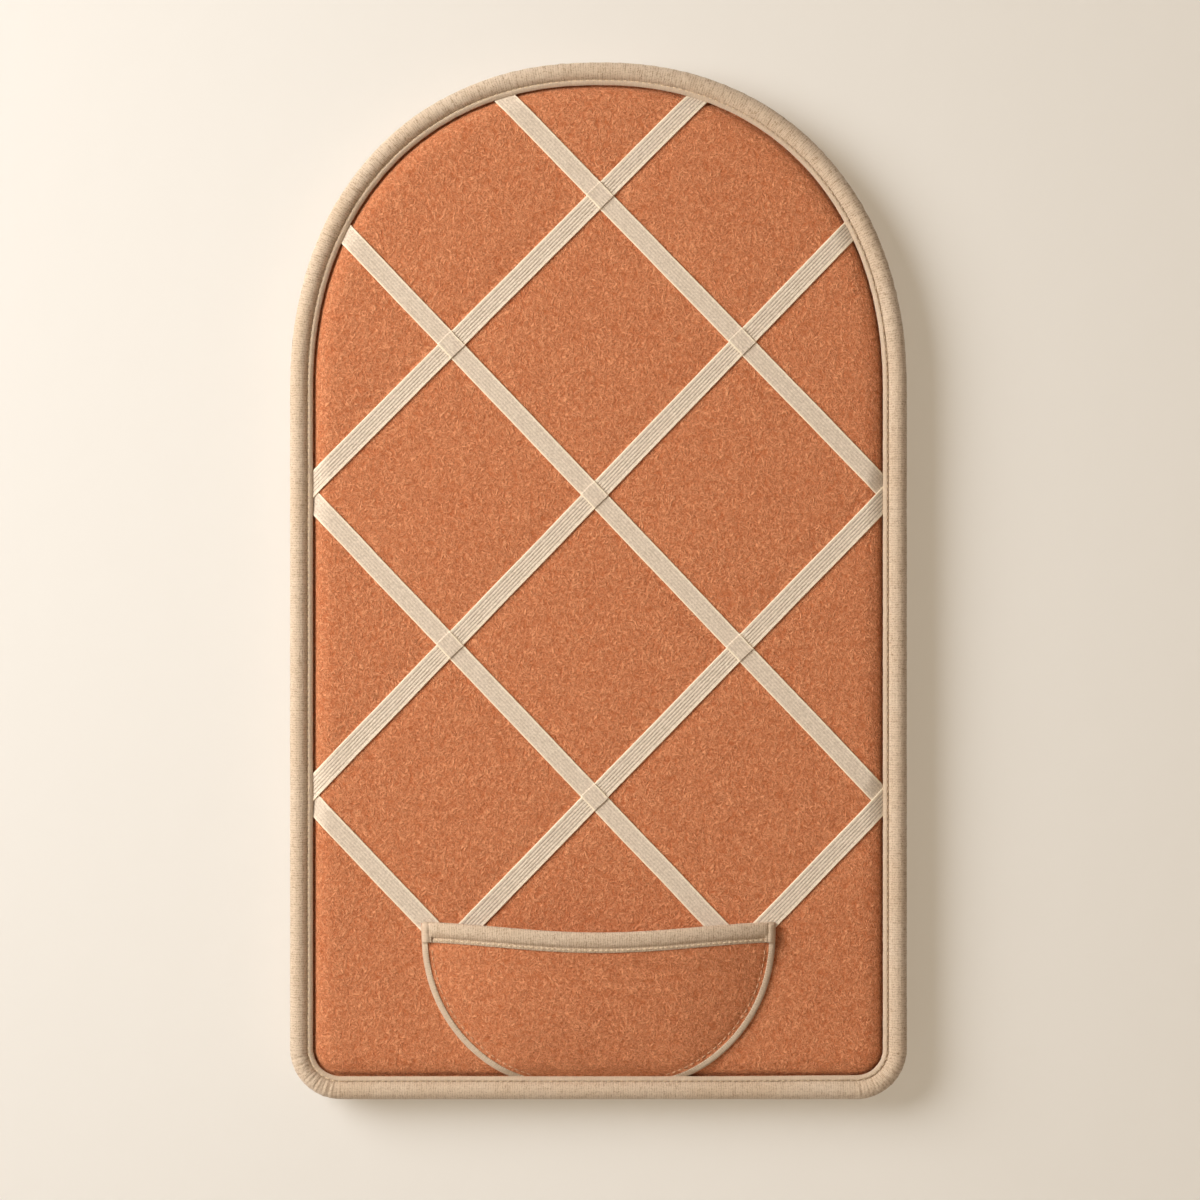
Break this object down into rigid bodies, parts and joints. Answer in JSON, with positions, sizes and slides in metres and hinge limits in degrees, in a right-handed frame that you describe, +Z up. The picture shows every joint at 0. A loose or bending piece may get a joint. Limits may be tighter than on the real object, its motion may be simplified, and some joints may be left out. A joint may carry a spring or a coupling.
{
  "type": "memo board",
  "caption": "Arched wall memo board, padded and faced with felt, with a woven edge roll, a lattice of crossed elastic straps for cards and photos, and a half-round felt pocket.",
  "frame": {"origin": "on the wall, midway between the two hooks: on the board's middle line, at the height where the hooks bear inside the rings, in the plane of the bumpers' rear faces", "axes": "+Z up, +X to the right as seen from the front, +Y backwards into the wall; the felt faces -Y"},
  "size_m": [0.357, 0.0431, 0.6],
  "materials": {
    "felt": "fibrous wool felt",
    "binding": "plain woven cotton",
    "elastic": "ribbed woven elastic",
    "foam": "soft foam",
    "fibreboard": "bare fibreboard",
    "hardboard": "smooth hardboard",
    "nickelled_steel": "nickel plate",
    "wire": "galvanised wire",
    "screw": "zinc plate",
    "bumper": "matt rubber"
  },
  "bodies": {
    "board": {"back_cover": "hardboard", "core_board": "fibreboard", "foam_pad": "foam", "face_felt": "felt", "edge_cord": "foam", "edge_binding": "binding", "pocket_panel": "felt", "pocket_mouth_binding": "binding", "pocket_edging_left": "binding", "pocket_edging_right": "binding", "hanger_plate_left": "nickelled_steel", "hanger_plate_right": "nickelled_steel", "bumper_left": "bumper", "bumper_right": "bumper", "strap_up_1": "elastic", "strap_up_2": "elastic", "strap_up_3": "elastic", "strap_up_4": "elastic", "strap_down_1": "elastic", "strap_down_2": "elastic", "strap_down_3": "elastic", "strap_down_4": "elastic", "staple_1": "wire", "staple_2": "wire", "staple_3": "wire", "staple_4": "wire", "staple_5": "wire", "staple_6": "wire", "staple_7": "wire", "staple_8": "wire", "staple_9": "wire", "staple_10": "wire", "staple_11": "wire", "staple_12": "wire", "staple_13": "wire", "staple_14": "wire", "staple_15": "wire", "staple_16": "wire", "cover_screw_1": "screw", "cover_screw_2": "screw", "cover_screw_3": "screw", "cover_screw_4": "screw", "cover_screw_5": "screw", "cover_screw_6": "screw", "cover_screw_7": "screw", "cover_screw_8": "screw", "hanger_screw_1": "screw", "hanger_screw_2": "screw", "hanger_screw_3": "screw", "hanger_screw_4": "screw"},
    "ring_left": {"hanger_ring_left": "nickelled_steel"},
    "ring_right": {"hanger_ring_right": "nickelled_steel"}
  },
  "joints": [
    {"name": "ring_left_swing", "type": "hinge", "parent": "board", "child": "ring_left", "pos_m": [-0.09, -0.003, -0.0148], "axis": [-1, 0, 0], "range_deg": [0, 165]},
    {"name": "ring_right_swing", "type": "hinge", "parent": "board", "child": "ring_right", "pos_m": [0.09, -0.003, -0.0148], "axis": [-1, 0, 0], "range_deg": [0, 165]}
  ]
}
